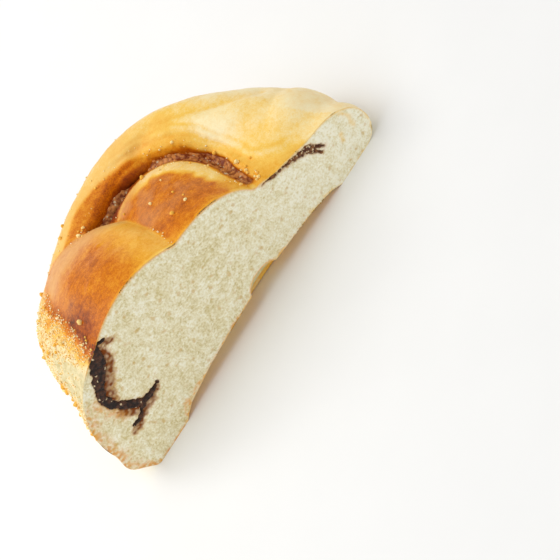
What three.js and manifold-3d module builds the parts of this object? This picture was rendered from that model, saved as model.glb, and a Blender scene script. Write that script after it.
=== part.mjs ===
// Half of a round filled streusel bun, cut straight through and standing on its flat base: two lobes and
// a strand wound round them lie on a base layer, with the filling between them.
// Millimetres, +Z up. The cut face looks to -Y, and the origin is the middle of the underside. Heights are
// given from the level where the underside's rounded edge begins, which is FOOT above the underside.
import * as THREE from "three";
import { mergeVertices } from "three/addons/utils/BufferGeometryUtils.js";
import Module from "manifold-3d";

// ---- Driving dimensions. X runs along the cut from its middle, Y from the cut face into the bun.
const BUN_DEPTH = 64.9; // cut face to the outermost grain at the back
const OFF_MIDDLE = 1.3; // how far the full right end moves the outline's middle to the right

const FOOT = 2.2; // how far the underside lies below the level that heights are given from
const BASE_CROWN = 25.5; // height of the base layer in its middle, under the lobes
const BASE_EDGE = [
  // radius and height down the base layer's side, from near its crown to its underside
  [20, 25],
  [27.5, 23.6],
  [34.3, 20],
  [42.9, 16.4],
  [50.1, 13.9],
  [54.4, 12.4],
  [58.2, 10.9],
  [59.9, 8],
  [59.6, 5.2],
  [58, 2.8],
  [55.2, 0.6],
  [51.8, -1.4],
  [48.6, -FOOT],
];
const ARCH = { at: [1, 0, -FOOT], radii: [40, 6.6, 5.4] }; // hollow where the cut face's foot draws back

// The lobes: middle, radii, and the turns about Z and Y in degrees.
const LEFT_LOBE = { at: [-19.6, 7.8, 26.6], radii: [25.2, 44.4, 17.1], yaw: 4.9 };
const MIDDLE_LOBE = { at: [2.6, 0.3, 21.4], radii: [23.3, 54.2, 15.2], yaw: -9 };
const FLANK_LOBE = { at: [34, 15.5, 2.8], radii: [22, 27, 21], pitch: 21 };
const TIP_LOBE = { at: [46, 2, 6], radii: [16.5, 13, 11.5] }; // full right end of the cut face

// The strand wound round the lobes, from its right end: X, Y, Z of its middle, half width, half height.
const STRAND = [
  [47.8, 15, 6, 13.6, 17.2],
  [41.5, 25.5, 9, 14, 20.6],
  [31.3, 37.2, 11.5, 13.2, 24.8],
  [19.1, 45.9, 12, 13.6, 26.6],
  [4.2, 49.4, 12.3, 14.5, 26],
  [-11, 48, 12.6, 14.9, 24.6],
  [-23.9, 42.5, 12.7, 16.3, 22.8],
  [-32, 31.9, 12.3, 19.1, 26.2],
  [-33.7, 12.2, 12, 20.5, 28.6],
  [-36.5, -8.5, 12, 23.6, 25.9],
];

// The filling's route in plan, from the right end of the cut round the lobes to the left end.
const FILLING_ROUTE = [
  [27, -3],
  [26.7, 6],
  [26.5, 13],
  [26.7, 21],
  [24, 29.5],
  [18.5, 35.2],
  [11, 39],
  [3, 40.4],
  [-6, 39.6],
  [-16, 38.2],
  [-25.5, 34.5],
  [-31, 27.5],
  [-34, 17],
  [-35.5, 7],
  [-36.2, -3],
];
// The filling's section at shares of its route. Each point, from the top edge down, is the distance
// outwards from the route, the height, and the thickness of the layer there.
const FILLING_SECTIONS = [
  { along: 0, points: [[0, 22.6, 2.2], [4.4, 19.5, 2], [9, 16.8, 1.8], [13.6, 14, 1.7], [18, 11.4, 1.4]] },
  { along: 0.12, points: [[0, 23.4, 3], [2.8, 19.6, 2.5], [6, 16, 2.1], [9, 12.8, 1.9], [12, 10, 1.4]] },
  { along: 0.26, points: [[0, 27.2, 3.2], [1.8, 23, 2.9], [3.4, 18.8, 2.4], [4.8, 14.8, 2], [5.6, 11, 1.4]] },
  { along: 0.42, points: [[0, 31.6, 3.4], [1.5, 27, 2.9], [2.9, 22.5, 2.4], [4, 18, 1.9], [4.6, 13.6, 1.4]] },
  { along: 0.6, points: [[0, 29.4, 2.6], [1.8, 25.6, 2.5], [3.4, 22, 2.3], [4.4, 17.6, 1.9], [4.8, 13.6, 1.4]] },
  { along: 0.82, points: [[1, 38, 2.4], [4.4, 32, 3], [6.6, 26, 2.9], [6, 20, 2.5], [3.4, 14.6, 2]] },
  { along: 1, points: [[1.4, 38.6, 2.6], [7.4, 33, 4.2], [10, 26.4, 4.2], [6.8, 18, 3.4], [-1.4, 15, 2.6]] },
];
const SLOT_GAP = 0.3; // clearance between the filling and the dough
const SLOT_RISE = 4; // how far the groove stays open above the filling

// Streusel grains: how many lie on the left strand, beside the open groove and elsewhere on the crust.
const GRAINS = { strand: 78, groove: 26, crust: 22 };
const GRAIN_RADIUS = { largest: 1.35, smallest: 0.62 };
const GRAIN_RISE = 0.3; // share of its radius that a grain's middle stands above the crust
const GRAIN_SPACING = { strand: 1.15, groove: 1.15, crust: 9 }; // closest two grains, in touching widths
const GRAIN_SEED = 4211;
const STRAND_PATCH = { left: -34.5, back: 38, foot: 15 }; // the left strand's stretch with dense grains
const GROOVE_OPEN = 0.48; // share of the route, from the right, where the groove lies open on top
const GROOVE_REACH = 7.5; // how far from the groove its grains lie
const CLEAR = { cut: 0.6, filling: 2.4, foot: 9.2 }; // grains stay this far from the cut, filling and floor

// Facets round and down each rounded shape, and steps along the strand and the filling.
const FACETS = { base: 72, left: [46, 28], middle: [42, 26], flank: [32, 20], tip: [28, 18], arch: [40, 20] };
const STRAND_FACETS = { cap: 5, around: 24, along: 38 };
const FILLING_FACETS = { along: 40, down: 9 };

const CRUST = new THREE.MeshStandardMaterial({ color: 0xd9963f, roughness: 0.55, metalness: 0 });
const SPICED_SUGAR = new THREE.MeshStandardMaterial({ color: 0x4a2214, roughness: 0.4, metalness: 0 });

const UP = new THREE.Vector3(0, 0, 1);
const wasm = await Module();
wasm.setup();

// ---- Helpers

// A closed geometry as a solid: seam vertices merged, and faces that shrink to a line dropped.
function solidOf(geometry) {
  const bare = geometry.clone();
  bare.deleteAttribute("normal");
  bare.deleteAttribute("uv");
  const merged = mergeVertices(bare, 1e-4);
  const kept = [];
  for (let i = 0; i < merged.index.count; i += 3) {
    const [a, b, c] = [0, 1, 2].map((k) => merged.index.getX(i + k));
    if (a !== b && b !== c && c !== a) kept.push(a, b, c);
  }
  const vertProperties = new Float32Array(merged.attributes.position.array);
  const mesh = new wasm.Mesh({ numProp: 3, vertProperties, triVerts: new Uint32Array(kept) });
  return new wasm.Manifold(mesh);
}

// A solid as a three.js geometry again.
function geometryOf(solid) {
  const mesh = solid.getMesh();
  const geometry = new THREE.BufferGeometry();
  geometry.setAttribute("position", new THREE.BufferAttribute(new Float32Array(mesh.vertProperties), 3));
  geometry.setIndex(new THREE.BufferAttribute(new Uint32Array(mesh.triVerts), 1));
  geometry.computeVertexNormals();
  return geometry;
}

function namedMesh(name, solid, material) {
  const mesh = new THREE.Mesh(geometryOf(solid), material);
  mesh.name = name;
  return mesh;
}

// A geometry with each vertex moved to where the rule sends it.
function reshape(geometry, rule) {
  const position = geometry.attributes.position;
  const vertex = new THREE.Vector3();
  for (let i = 0; i < position.count; i++) {
    const moved = rule(vertex.fromBufferAttribute(position, i));
    position.setXYZ(i, moved.x, moved.y, moved.z);
  }
  return geometry;
}

// An ellipsoid with its turns about Y and Z.
function ellipsoid({ at, radii, yaw = 0, pitch = 0 }, [around, down]) {
  const geometry = new THREE.SphereGeometry(1, around, down).rotateX(Math.PI / 2).scale(...radii);
  geometry.rotateY(THREE.MathUtils.degToRad(pitch)).rotateZ(THREE.MathUtils.degToRad(yaw));
  return solidOf(geometry.translate(...at));
}

// One column of a table of stations, read at a share of its length on a smooth curve through them.
function valueAt(stations, column, share) {
  const last = stations.length - 1;
  const i = Math.min(Math.floor(share * last), last - 1);
  const f = share * last - i;
  const near = [i - 1, i, i + 1, i + 2].map((k) => THREE.MathUtils.clamp(k, 0, last));
  const [p0, p1, p2, p3] = near.map((k) => stations[k][column]);
  return p1 + 0.5 * f * (p2 - p0 + f * (2 * p0 - 5 * p1 + 4 * p2 - p3 + f * (3 * (p1 - p2) + p3 - p0)));
}

// Evenly spread random numbers from a fixed seed.
function randomRow(seed) {
  let state = seed;
  return () => {
    state = (Math.imul(state, 1664525) + 1013904223) >>> 0;
    return state / 2 ** 32;
  };
}

// ---- Dough

function baseLayer() {
  const outline = [[0, -FOOT], ...BASE_EDGE.toReversed(), [0, BASE_CROWN]];
  const points = outline.map(([radius, height]) => new THREE.Vector2(radius, height));
  return solidOf(new THREE.LatheGeometry(points, FACETS.base).rotateX(Math.PI / 2));
}

// The strand: a capsule bent along its route, as wide and high as its stations say.
function strand() {
  const length = 10;
  const route = new THREE.CatmullRomCurve3(STRAND.map(([x, y, z]) => new THREE.Vector3(x, y, z)));
  const { cap, around, along } = STRAND_FACETS;
  const capsule = new THREE.CapsuleGeometry(1, length, cap, around, along);
  return solidOf(
    reshape(capsule, (vertex) => {
      const share = THREE.MathUtils.clamp(vertex.y / length + 0.5, 0, 1);
      const past = vertex.y - length * (share - 0.5);
      const forward = route.getTangent(share).setZ(0).normalize();
      const outward = new THREE.Vector3().crossVectors(forward, UP);
      const width = valueAt(STRAND, 3, share);
      const height = valueAt(STRAND, 4, share);
      const middle = route.getPoint(share).addScaledVector(forward, past * width);
      return middle.addScaledVector(outward, vertex.x * width).addScaledVector(UP, vertex.z * height);
    }),
  );
}

// The half bun without its grains and its filling.
function crustedHalf() {
  const lobes = [
    ellipsoid(LEFT_LOBE, FACETS.left),
    ellipsoid(MIDDLE_LOBE, FACETS.middle),
    ellipsoid(FLANK_LOBE, FACETS.flank),
    ellipsoid(TIP_LOBE, FACETS.tip),
    strand(),
  ];
  const whole = lobes.reduce((joined, piece) => joined.add(piece), baseLayer());
  return whole.intersect(behindCut).subtract(ellipsoid(ARCH, FACETS.arch));
}

// ---- Filling

// Distance outwards, height and thickness of the layer at a share of its route and of its depth.
function sectionAt(along, down) {
  const after = Math.max(1, FILLING_SECTIONS.findIndex((section) => section.along >= along - 1e-9));
  const [first, second] = [FILLING_SECTIONS[after - 1], FILLING_SECTIONS[after]];
  const blend = THREE.MathUtils.smoothstep(along, first.along, second.along);
  const read = (section, column) => valueAt(section.points, column, down);
  return [0, 1, 2].map((column) => THREE.MathUtils.lerp(read(first, column), read(second, column), blend));
}

// The layer as a box bent along its route. Grown by a gap, with a row of faces that rises straight up
// from its top edge, it is the slot that the layer lies in.
function fillingLayer(gap, rise) {
  const rows = FILLING_FACETS.down;
  const above = rise > 0 ? 1 : 0;
  const step = 0.02; // share of the depth over which the section's slope is taken
  const box = new THREE.BoxGeometry(1, 1, 1, 1, rows + above, FILLING_FACETS.along);
  return solidOf(
    reshape(box, (vertex) => {
      const along = vertex.z + 0.5;
      const row = Math.round((0.5 - vertex.y) * (rows + above)) - above;
      const down = Math.max(row, 0) / rows;
      const [out, height, thickness] = sectionAt(along, down);
      const [outAbove, heightAbove] = sectionAt(along, Math.max(down - step, 0));
      const [outBelow, heightBelow] = sectionAt(along, Math.min(down + step, 1));
      const slope = new THREE.Vector2(outBelow - outAbove, heightBelow - heightAbove).normalize();
      const across = -Math.sign(vertex.x) * (thickness / 2 + gap);
      const beyond = row === rows ? gap : 0;
      const offset = out - across * slope.y + beyond * slope.x;
      const level = height + across * slope.x + beyond * slope.y + (row < 0 ? rise : 0);
      const outward = new THREE.Vector3().crossVectors(fillingRoute.getTangentAt(along), UP);
      return fillingRoute.getPointAt(along).addScaledVector(outward, offset).setZ(level);
    }),
  );
}

// ---- Streusel

// Whether a grain at a point is one of the strand's, the groove's or the crust's, or null if the point
// is too close to the cut, the filling or the floor.
function grainKind(point, radius, layer) {
  const flat = point.clone().setZ(0);
  const nearest = (points) => Math.min(...points.map((place) => place.distanceTo(flat)));
  if (point.z + FOOT < CLEAR.foot || point.y < CLEAR.cut + radius) return null;
  if (nearest(layer) < CLEAR.filling + radius) return null;
  const { left, back, foot } = STRAND_PATCH;
  if (point.x < left && point.y < back && point.z > foot) return "strand";
  const groove = layer.slice(0, Math.round(layer.length * GROOVE_OPEN));
  return nearest(groove) < GROOVE_REACH ? "groove" : "crust";
}

// Grains fused to the crust, largest first: each lies where a ray towards the bun's middle meets it.
function grains(crust) {
  const random = randomRow(GRAIN_SEED);
  const target = new THREE.Mesh(geometryOf(crust), CRUST);
  const caster = new THREE.Raycaster();
  const layer = fillingRoute.getSpacedPoints(60);
  const left = { ...GRAINS };
  const total = GRAINS.strand + GRAINS.groove + GRAINS.crust;
  const placed = [];
  for (let tries = 0; tries < 9000 && placed.length < total; tries++) {
    const heading = new THREE.Vector3().setFromSphericalCoords(1, Math.acos(0.12 + 0.86 * random()), 0);
    heading.applyEuler(new THREE.Euler(Math.PI / 2, 0, 0)).applyAxisAngle(UP, Math.PI * (0.5 + random()));
    const aim = new THREE.Vector3(50 * (random() - 0.5), 6 + 20 * random(), 8);
    caster.set(aim.clone().addScaledVector(heading, 150), heading.negate());
    const [hit] = caster.intersectObject(target);
    if (!hit) continue;
    const share = Math.sqrt(placed.length / total);
    const radius = THREE.MathUtils.lerp(GRAIN_RADIUS.largest, GRAIN_RADIUS.smallest, share);
    const kind = grainKind(hit.point, radius, layer);
    if (!kind || left[kind] === 0) continue;
    const apart = (other) => other.point.distanceTo(hit.point) / (other.radius + radius);
    if (placed.some((other) => apart(other) < GRAIN_SPACING[kind])) continue;
    left[kind] -= 1;
    placed.push({ point: hit.point, normal: hit.face.normal, radius });
  }
  return placed.map(({ point, normal, radius }) => {
    const grain = new THREE.IcosahedronGeometry(radius, 0);
    grain.scale(1, 0.82 + 0.3 * random(), 0.74 + 0.24 * random());
    grain.rotateZ(6 * random()).rotateX(6 * random());
    const middle = point.clone().addScaledVector(normal, GRAIN_RISE * radius);
    return solidOf(grain.translate(middle.x, middle.y, middle.z));
  });
}

// ---- The bun

const behindCut = solidOf(new THREE.BoxGeometry(200, 100, 100).translate(0, 50, 50 - FOOT));
const routePoints = FILLING_ROUTE.map(([x, y]) => new THREE.Vector3(x, y, 0));
const fillingRoute = new THREE.CatmullRomCurve3(routePoints, false, "centripetal");

const crust = crustedHalf();
const strewn = grains(crust).reduce((joined, grain) => joined.add(grain), crust);
const dough = strewn.subtract(fillingLayer(SLOT_GAP, SLOT_RISE));
const filling = fillingLayer(0, 0).intersect(behindCut);

const bun = new THREE.Group();
bun.add(namedMesh("dough", dough, CRUST), namedMesh("filling", filling, SPICED_SUGAR));
bun.position.set(-OFF_MIDDLE, -BUN_DEPTH / 2, FOOT);
const root = new THREE.Group();
root.add(bun);

export default root;
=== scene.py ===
"""Half of a round filled streusel bun, cut straight through and standing on its flat base.

Shapes are worked out in millimetres in the bun's own frame: X along the cut from its middle, Y from the
cut face into the bun, Z up from the level where the underside's rounded edge begins. ORIGIN takes them to
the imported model's frame, in metres.
"""

import math

import bmesh
import bpy
import numpy as np
from bpy.props import FloatProperty, FloatVectorProperty, IntProperty, PointerProperty
from bpy.types import Operator, Panel, PropertyGroup
from mathutils import Matrix, Vector
from mathutils.geometry import delaunay_2d_cdt


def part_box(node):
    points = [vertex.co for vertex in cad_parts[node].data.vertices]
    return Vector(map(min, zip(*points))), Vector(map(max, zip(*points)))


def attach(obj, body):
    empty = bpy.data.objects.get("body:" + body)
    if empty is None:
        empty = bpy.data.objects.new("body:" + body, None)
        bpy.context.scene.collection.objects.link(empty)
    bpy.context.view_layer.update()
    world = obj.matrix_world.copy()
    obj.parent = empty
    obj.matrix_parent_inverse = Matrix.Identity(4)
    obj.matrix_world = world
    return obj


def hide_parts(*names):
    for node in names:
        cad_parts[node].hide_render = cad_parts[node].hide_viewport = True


bl_info = {
    "name": "Streusel bun",
    "version": (1, 0, 0),
    "blender": (4, 5, 0),
    "location": "3D View > Sidebar > Streusel bun",
    "description": "Builds one half of a filled streusel bun around its packed model",
    "category": "Object",
}

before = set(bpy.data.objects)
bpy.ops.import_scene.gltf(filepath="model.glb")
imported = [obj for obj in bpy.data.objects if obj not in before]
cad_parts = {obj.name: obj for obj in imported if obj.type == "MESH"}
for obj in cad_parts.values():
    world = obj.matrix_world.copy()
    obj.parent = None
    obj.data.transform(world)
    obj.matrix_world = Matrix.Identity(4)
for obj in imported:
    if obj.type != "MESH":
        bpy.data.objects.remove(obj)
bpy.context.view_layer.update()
DOUGH_LOW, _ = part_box("dough")

MM = 0.001
TINY = 1e-9  # keeps a division from being by nothing
BASE_RADIUS = 59.9  # widest radius of the base layer, whose left edge is the dough's lowest X
FOOT = 2.2  # how far the underside lies below the level that heights are given from
ORIGIN = np.array([DOUGH_LOW.x + BASE_RADIUS * MM, DOUGH_LOW.y, DOUGH_LOW.z + FOOT * MM])

# ---- Shape of the bun, in millimetres

# Radius and height down the base layer's side.
BASE_EDGE = [
    (0, 25.5), (10, 25.4), (20, 25), (27.5, 23.6), (34.3, 20), (42.9, 16.4), (50.1, 13.9),
    (54.4, 12.4), (58.2, 10.9), (59.9, 8), (59.6, 5.2), (58, 2.8), (55.2, 0.6), (51.8, -1.4),
    (48.6, -2.4), (40, -6),
]
ARCH = {"at": (1, 0, -FOOT), "radii": (40, 6.6, 5.4)}  # hollow where the cut face's foot draws back
NOTCH = {"at": (6.5, 0, 2), "radii": (6.5, 3.2, 4.2)}  # where the foot tore away with the knife
LEFT_LOBE = {"at": (-19.6, 7.8, 26.6), "radii": (25.2, 44.4, 17.1), "yaw": 4.9}
MIDDLE_LOBE = {"at": (2.6, 0.3, 21.4), "radii": (23.3, 54.2, 15.2), "yaw": -9}
FLANK_LOBE = {"at": (34, 15.5, 2.8), "radii": (22, 27, 21), "pitch": 21}
TIP_LOBE = {"at": (46, 2, 6), "radii": (16.5, 13, 11.5)}

# The strand wound round the lobes, from its right end: X, Y, Z of its middle, half width, half height.
STRAND = [
    (47.8, 15, 6, 13.6, 17.2), (41.5, 25.5, 9, 14, 20.6), (31.3, 37.2, 11.5, 13.2, 24.8),
    (19.1, 45.9, 12, 13.6, 26.6), (4.2, 49.4, 12.3, 14.5, 26), (-11, 48, 12.6, 14.9, 24.6),
    (-23.9, 42.5, 12.7, 16.3, 22.8), (-32, 31.9, 12.3, 19.1, 26.2), (-33.7, 12.2, 12, 20.5, 28.6),
    (-36.5, -8.5, 12, 23.6, 25.9),
]

# The filling's route in plan, and its section at shares of that route: for five points from the top
# edge down, distance outwards from the route, height and thickness.
FILLING_ROUTE = [
    (27, -3), (26.7, 6), (26.5, 13), (26.7, 21), (24, 29.5), (18.5, 35.2), (11, 39), (3, 40.4),
    (-6, 39.6), (-16, 38.2), (-25.5, 34.5), (-31, 27.5), (-34, 17), (-35.5, 7), (-36.2, -3),
]
FILLING_SECTIONS = [
    (0, [(0, 22.9, 0.9), (4.4, 20.2, 0.8), (9.6, 18.1, 1.9), (14, 15.9, 2.5), (18, 12.4, 1.4)]),
    (0.12, [(0, 23.4, 3), (2.8, 19.6, 2.5), (6, 16, 2.1), (9, 12.8, 1.9), (12, 10, 1.4)]),
    (0.26, [(0, 27.2, 3.2), (1.8, 23, 2.9), (3.4, 18.8, 2.4), (4.8, 14.8, 2), (5.6, 11, 1.4)]),
    (0.42, [(0, 31.6, 3.4), (1.5, 27, 2.9), (2.9, 22.5, 2.4), (4, 18, 1.9), (4.6, 13.6, 1.4)]),
    (0.6, [(0, 29.4, 2.6), (1.8, 25.6, 2.5), (3.4, 22, 2.3), (4.4, 17.6, 1.9), (4.8, 13.6, 1.4)]),
    (0.82, [(1, 38, 2.4), (4.4, 32, 3), (6.6, 26, 2.9), (6, 20, 2.5), (3.4, 14.6, 2)]),
    (1, [(1.4, 38.6, 2.6), (7.4, 33, 4.2), (10, 26.4, 4.2), (6.8, 18, 3.4), (-1.4, 15, 2.6)]),
]
SLOT_RISE = 4.0  # how far the groove stays open above the filling
POCKET_LEAN = 1.7  # how far the groove's pocket leans towards the rope

# The filling as the knife bared it, streak by streak: X, Z and width along each on the cut face.
CUT_STREAKS = {
    "hook": [
        (-33.4, 40.3, 1.0), (-34.8, 39.3, 2.8), (-37.0, 37.0, 5.0), (-39.8, 34.0, 4.4),
        (-43.2, 31.4, 3.2), (-45.6, 28.2, 2.7), (-45.8, 24.6, 2.6), (-44.3, 20.6, 2.6),
        (-42.2, 17.4, 2.5), (-40.2, 15.7, 2.0), (-38.1, 15.2, 1.5), (-36.1, 15.2, 1.2),
        (-34.2, 15.5, 0.5),
    ],
    "shard": [(-35.9, 41.0, 0.7), (-33.1, 40.0, 1.0), (-30.4, 39.2, 0.5)],
    "tail": [(-41.6, 15.4, 2.0), (-43.7, 14.1, 1.3), (-46.1, 13.4, 0.9), (-48.2, 13.8, 0.3)],
    "line": [
        (28.2, 22.3, 0.4), (30.3, 21.5, 0.5), (32.5, 20.5, 0.65), (34.6, 19.7, 0.8),
        (37.9, 18.4, 1.05), (41.4, 16.9, 1.5), (43.9, 15.5, 1.9), (45.6, 13.6, 1.3),
        (47.7, 11.2, 0.4),
    ],
    "fork": [(44.2, 14.4, 1.6), (45.6, 10.7, 0.4)],
}
STREAK_DEPTH = 1.0  # half of how deep the bared streaks reach into the crumb

# Plan places of the crust's small forms: the valley where the right rope lies over the back one,
# blisters on the middle lobe, and loose streusel crumbs.
ROPE_OVERLAP = [
    (16.3, 40.6), (20.7, 40.7), (25.9, 40.1), (30.5, 36.9), (35.8, 32.8), (39.9, 29.5), (44, 27.4),
    (51, 24),
]
BLISTERS = [(11.4, 16.7), (13.1, 10.5), (13.1, 2.8), (8.4, 9.5), (6.2, 19.5), (-21, 14), (-11, 24)]
LOOSE_CRUMBS = [
    (14.4, 39.2), (2.2, 47.4), (1.8, 43.6), (4.9, 40.9), (1.4, 40.7), (-1.6, 40.4), (0.3, 34.4),
    (8.6, 41.5), (30.7, 4.5), (28.8, 2.6), (28.2, 10.2), (27.2, 12.8), (29.4, 12.0), (27.6, 6.4),
    (31.4, 7.2), (32.5, 9.5), (29.6, 7.4), (25.4, 18.3), (28.6, 20.5), (17.6, 36.2), (26.3, 24.1),
    (-31, 9.5), (-33.4, 4.6), (11.4, 16.7), (13.1, 10.5), (8.4, 9.5), (6.2, 19.5),
]
PALE_CREST_HIGHLIGHT = (35, 24.5)  # palest place of the crust, on the right rope: paler crust with a painted highlight
# The rolled lip along the groove: distance from the slot, width and height of each of its waves.
LIP_WAVES = [(1.5, 1.0, 1.0), (3.7, 0.7, -0.5), (5.1, 0.6, 0.3), (6.4, 0.6, -0.25)]
# How far syrup has run in X and Z from the hook, to its right and below its foot.
SYRUP_RUNS = [[(0.7, -1.2), (1.2, -2.4)], [(-1.0, -0.9), (-1.8, -1.6)]]
# Tan streaks of crust folded into the right end: X, Z on the cut face.
TIP_FOLDS = [[(57.4, 13.2), (58.4, 10.2), (57.2, 6.6)], [(53.0, 8.4), (52.0, 6.4)]]
FIELD_LOW = (-63.0, -2.4, -4.0)  # corners of the box in which the surfaces are looked for
FIELD_HIGH = (65.5, 67.0, 46.5)
HOOK_BOX = [(-52.5, -0.9, 9.5), (-27.5, 2.4, 44)]
LINE_BOX = [(26, -0.9, 8), (50.5, 2.4, 25)]


# ---- Colours


def linear(code):
    """Linear red, green and blue of an sRGB hex colour."""
    channels = [int(code[i : i + 2], 16) / 255 for i in (1, 3, 5)]
    return tuple(c / 12.92 if c <= 0.04045 else ((c + 0.055) / 1.055) ** 2.4 for c in channels)


def colour(name, description, code):
    return FloatVectorProperty(
        name=name, description=description, default=linear(code), subtype="COLOR", min=0, max=1
    )


def length(name, description, default):
    return FloatProperty(name=name, description=description, default=default * MM, unit="LENGTH", min=0)


class BunSizes(PropertyGroup):
    """Sizes that change how the bun is built."""

    crust_cell: length("Crust mesh", "Spacing of the crust's mesh", 0.62)
    crumb_cell: length("Crumb mesh", "Spacing of the cut face's mesh", 0.28)
    filling_cell: length("Filling mesh", "Spacing of the filling's mesh", 0.5)
    streak_cell: length("Streak mesh", "Spacing of the mesh of the streaks at the cut", 0.27)
    pucker: length("Pucker", "Height of the crust's slow unevenness", 0.25)
    overlap: length("Rope overlap", "Depth of the valley between the two ropes", 1.1)
    lip: length("Groove lip", "Height of the rolled lip along the groove", 0.5)
    crumb_relief: length("Crumb relief", "Height of the torn fibres on the cut face", 0.2)
    filling_relief: length("Filling relief", "Height of the grains in the filling", 0.35)
    crumb_smallest: length("Smallest crumb", "Radius of the smallest streusel crumb", 0.38)
    crumb_largest: length("Largest crumb", "Radius of the largest streusel crumb", 1.0)
    sugar_smallest: length("Smallest sugar", "Radius of the smallest sugar grain", 0.17)
    sugar_largest: length("Largest sugar", "Radius of the largest sugar grain", 0.4)
    seed: IntProperty(name="Seed", description="Seed of everything scattered", default=11)


class BunColours(PropertyGroup):
    """Colours of the bun's finishes."""

    crust_pale: colour("Palest crust", "Crust that hardly browned", "#FBEFC4")
    crust_straw: colour("Straw crust", "Lightly browned crust", "#F3C75E")
    crust_gold: colour("Golden crust", "Evenly browned crust", "#E8A22A")
    crust_amber: colour("Amber crust", "Well browned crust", "#CE7207")
    crust_brown: colour("Brown crust", "Darkest glossy crust", "#9C4708")
    # The darkest stop of the browning is painted shade, reached deep down the groove's walls and in the
    # deepest creases.
    crust_fold_shade: colour("Dark crust", "Crust in the deep folds", "#4E1E08")
    # Bloom colour: a floury film, and also the painted sheen on the crust's left-facing slopes and pale outer
    # rims.
    bloom_and_sheen: colour("Floury bloom", "Dull film of flour on the crust", "#D8A878")
    # The light and shaded crumb colours follow the relief: painted highlight on raised fibres, painted shade
    # in hollows.
    crumb_fibre_highlight: colour("Light crumb", "Raised fibres of the crumb", "#F8F4DE")
    crumb_middle: colour("Middle crumb", "Even crumb between fibres and hollows", "#E9DFB9")
    crumb_shade: colour("Shaded crumb", "Hollows between the fibres", "#D3C38E")
    crumb_fleck: colour("Crumb fleck", "Ochre flecks in the crumb", "#CDA552")
    torn_light: colour("Light torn crust", "Fibres of crumb bared where the crust tore off", "#E2D6AC")
    torn_shade: colour("Shaded torn crust", "Hollows of crumb bared where the crust tore off", "#CDBC8A")
    stain: colour("Filling stain", "Crumb soaked by the filling", "#7E3E0C")
    stain_edge: colour("Stain's edge", "Crumb that syrup only just reached", "#D0913A")
    grain_light: colour("Light grains", "Baked sugar grains in the groove", "#D8904C")
    # The dark grain colour is syrup, and also painted shade between the raised grains and down the groove's
    # walls.
    syrup_and_shade: colour("Dark grains", "Syrup between the grains in the groove", "#82360F")
    filling_light: colour("Light filling", "Dry grains of the filling at the cut", "#54301C")
    # Pale filling grains, which on the hook stand for painted glints.
    filling_grain_and_glint: colour("Pale filling grain", "Undissolved sugar and nut in the filling", "#CDB690")
    filling_dark: colour("Dark filling", "Wet spiced sugar at the cut", "#1C0B05")
    streusel_light: colour("Light streusel", "Floury side of a streusel crumb", "#FFEBA6")
    streusel_gold: colour("Golden streusel", "Baked side of a streusel crumb", "#F2B848")
    floor: colour("Floor", "White table top", "#F1F1F0")


# ---- Numbers: noise and smooth joins


def hashed(cells, seed):
    """Evenly spread numbers from 0 to 1, one for each row of whole numbers."""
    rows = cells.astype(np.int64).astype(np.uint64)
    mixed = np.full(len(rows), seed * 2654435761 % 2**32, np.uint64)
    for column, prime in zip(rows.T, (73856093, 19349663, 83492791)):
        mixed = (mixed ^ (column * np.uint64(prime))) * np.uint64(1274126177) & np.uint64(0xFFFFFFFF)
        mixed ^= mixed >> np.uint64(15)
    return mixed / 2**32


def noise(points, size, seed):
    """Smooth noise from -1 to 1 in any number of dimensions, with features of about size mm."""
    scaled = points / size
    cell = np.floor(scaled)
    share = scaled - cell
    share = share * share * (3 - 2 * share)
    total = np.zeros(len(points))
    dimensions = points.shape[1]
    for corner in range(2**dimensions):
        offset = np.array([corner >> k & 1 for k in range(dimensions)])
        weight = np.prod(np.where(offset, share, 1 - share), axis=1)
        total += weight * hashed(cell + offset, seed)
    return 2 * total - 1


def cells(points, size, seed):
    """Distance to the nearest scattered point in units of size, and a random number for that point."""
    scaled = points / size
    cell = np.floor(scaled)
    nearest = np.full(len(points), 9.0)
    tone = np.zeros(len(points))
    dimensions = points.shape[1]
    for corner in range(3**dimensions):
        offset = np.array([corner // 3**k % 3 - 1 for k in range(dimensions)])
        home = cell + offset
        place = home + np.stack([hashed(home, seed + k) for k in range(dimensions)], 1)
        distance = np.linalg.norm(scaled - place, axis=1)
        closer = distance < nearest
        nearest = np.where(closer, distance, nearest)
        tone = np.where(closer, hashed(home, seed + 9), tone)
    return nearest, tone


def ramp(value, low, high):
    """0 below low, 1 above high, and smooth between."""
    share = np.clip((value - low) / (high - low), 0, 1)
    return share * share * (3 - 2 * share)


def fall(value, low, high):
    """1 below low, 0 above high, and smooth between."""
    return 1 - ramp(value, low, high)


def stretch(value, opening, full, fading, gone):
    """1 from full to fading, 0 before opening and after gone, and smooth between."""
    return ramp(value, opening, full) * fall(value, fading, gone)


def hump(value, width):
    """1 at nothing, falling to 0 within about twice a width on both sides."""
    return np.exp(-((value / width) ** 2))


def join(a, b, width):
    """The lower of two fields, rounded over a width."""
    near = np.maximum(width - np.abs(a - b), 0) / width
    return np.minimum(a, b) - near * near * width / 4


def cut(a, b, width):
    """The first field without the second one, with a rounded edge."""
    return -join(-a, b, width)


# ---- Fields: distance to each shape, negative inside


def oval(*spans):
    """Distance to an oval from pairs of an offset from its middle and the radius that way."""
    k0 = np.sqrt(sum((offset / radius) ** 2 for offset, radius in spans))
    k1 = np.sqrt(sum((offset / radius**2) ** 2 for offset, radius in spans))
    return k0 * (k0 - 1) / np.maximum(k1, TINY)


def ellipsoid(x, y, z, at, radii, yaw=0.0, pitch=0.0):
    """Distance to an ellipsoid turned about Z and then about its own long side."""
    c, s = math.cos(math.radians(yaw)), math.sin(math.radians(yaw))
    px, py, pz = x - at[0], y - at[1], z - at[2]
    px, py = c * px + s * py, c * py - s * px
    c, s = math.cos(math.radians(pitch)), math.sin(math.radians(pitch))
    px, pz = c * px - s * pz, s * px + c * pz
    return oval((px, radii[0]), (py, radii[1]), (pz, radii[2]))


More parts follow.
